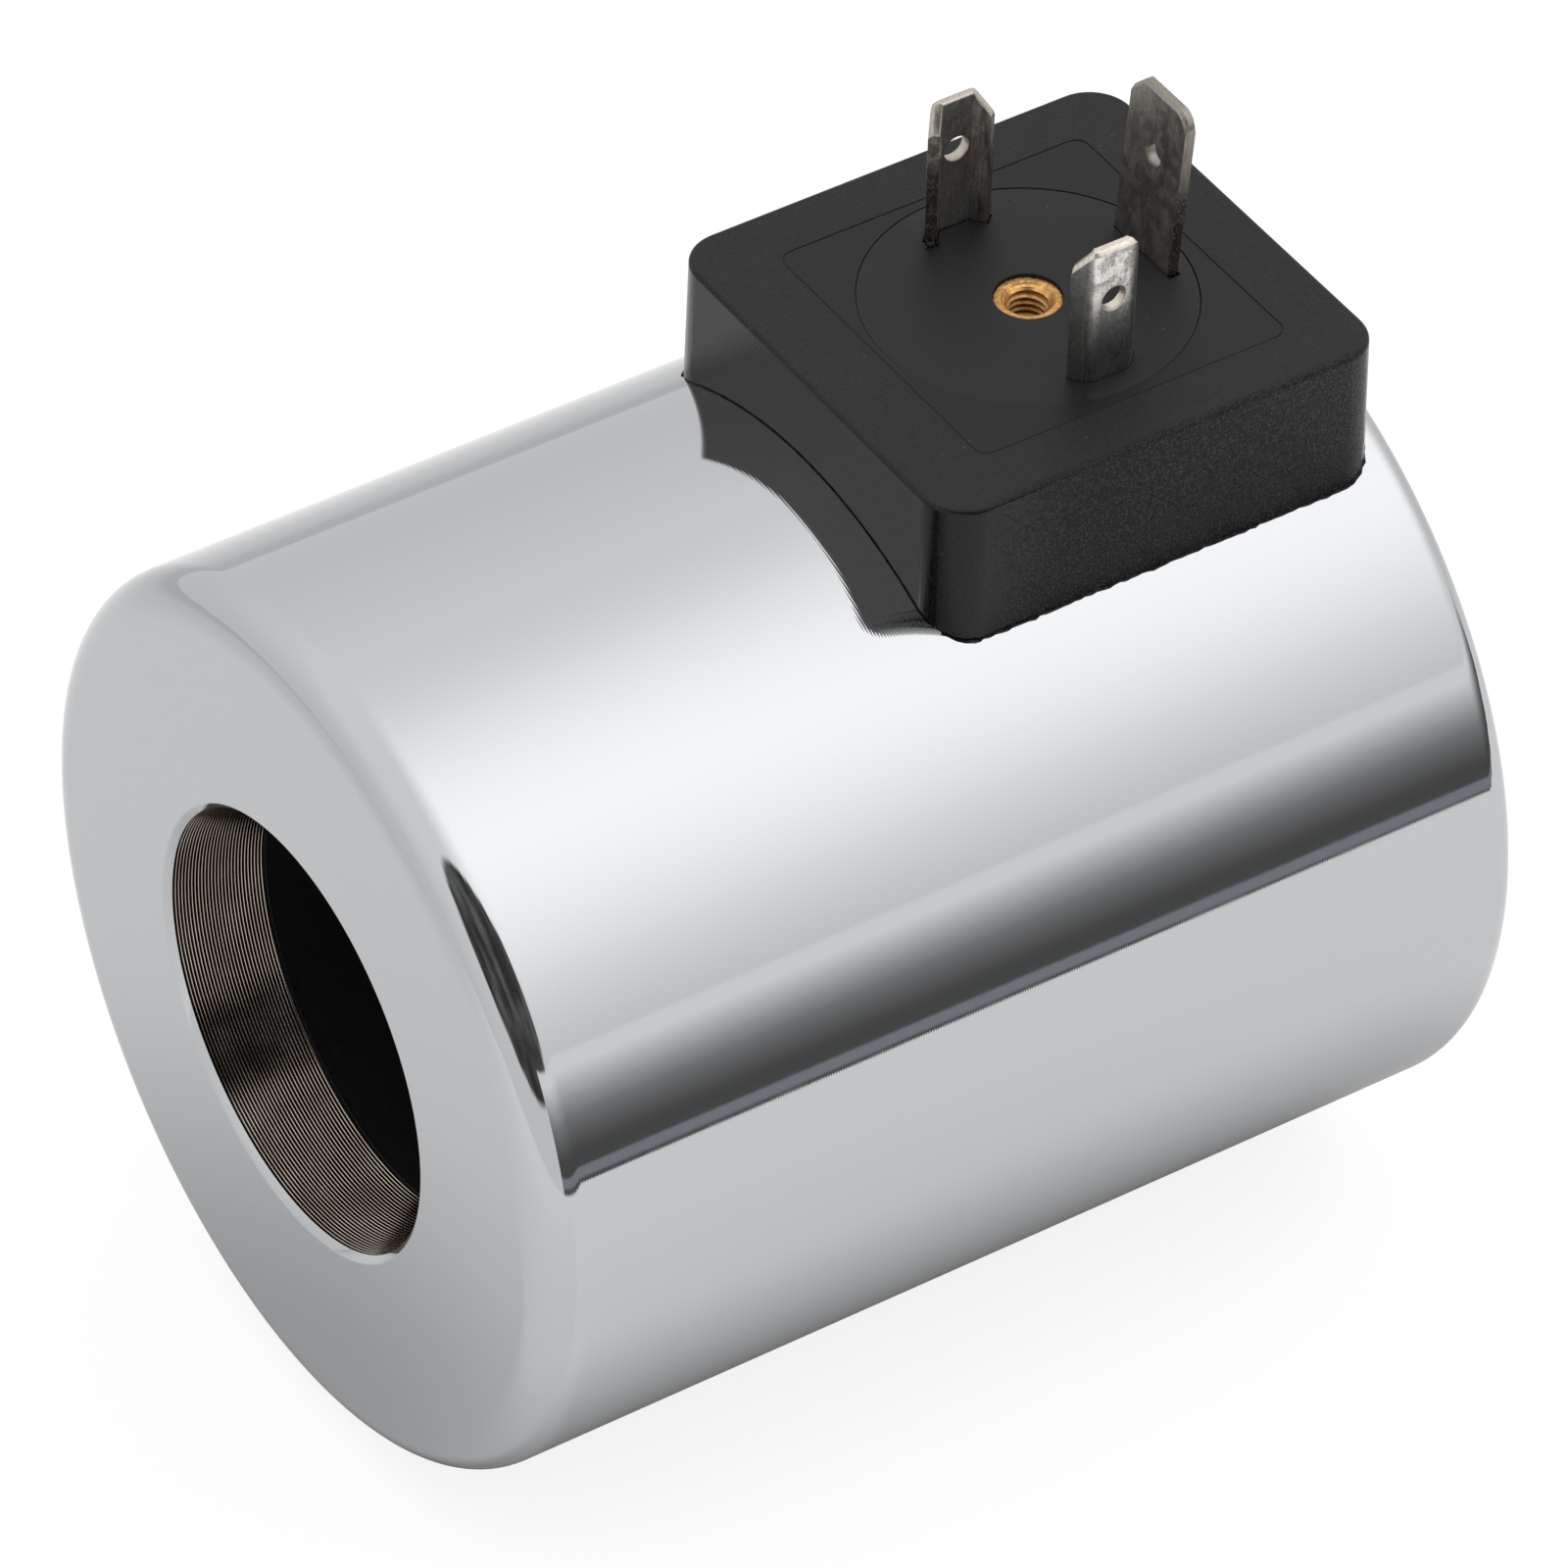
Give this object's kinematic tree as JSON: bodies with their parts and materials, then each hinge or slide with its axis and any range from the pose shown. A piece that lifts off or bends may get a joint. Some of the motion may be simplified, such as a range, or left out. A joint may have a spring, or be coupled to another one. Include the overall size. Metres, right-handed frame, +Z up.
{
  "type": "solenoid coil",
  "caption": "Round steel-cased coil that slides over a hydraulic valve's core tube, with a moulded plug base, folded contacts, an earth blade and a threaded insert.",
  "frame": {"origin": "on the bore's axis, in the plane of the front face", "axes": "+X along the bore from the front face to the rear end, +Z up through the plug base"},
  "size_m": [0.0753, 0.0624, 0.081],
  "materials": {
    "casing_chrome": "bright chrome over turned steel",
    "pole_plate_steel": "turned and zinc plated",
    "base_moulding": "fine moulded grain",
    "carrier_moulding": "smooth matte",
    "bobbin_moulding": "smooth matte",
    "copper_wire": "enamelled copper",
    "wrap_tape": "polyester tape",
    "contact_tin": "worn tin plate",
    "insert_brass": "turned",
    "sleeve_plastic": "woven sleeve",
    "solder": "bright solder"
  },
  "bodies": {
    "root": {"casing": "casing_chrome", "rear_pole_plate": "pole_plate_steel", "bobbin": "bobbin_moulding", "winding": "copper_wire", "winding_wrap": "wrap_tape", "encapsulation": "base_moulding", "terminal_carrier": "carrier_moulding", "thread_insert": "insert_brass", "terminal_1": "contact_tin", "terminal_2": "contact_tin", "earth_terminal": "contact_tin", "lead_start": "copper_wire", "lead_finish": "copper_wire", "lead_sleeve_1": "sleeve_plastic", "lead_sleeve_2": "sleeve_plastic", "solder_joint_1": "solder", "solder_joint_2": "solder"}
  },
  "joints": []
}
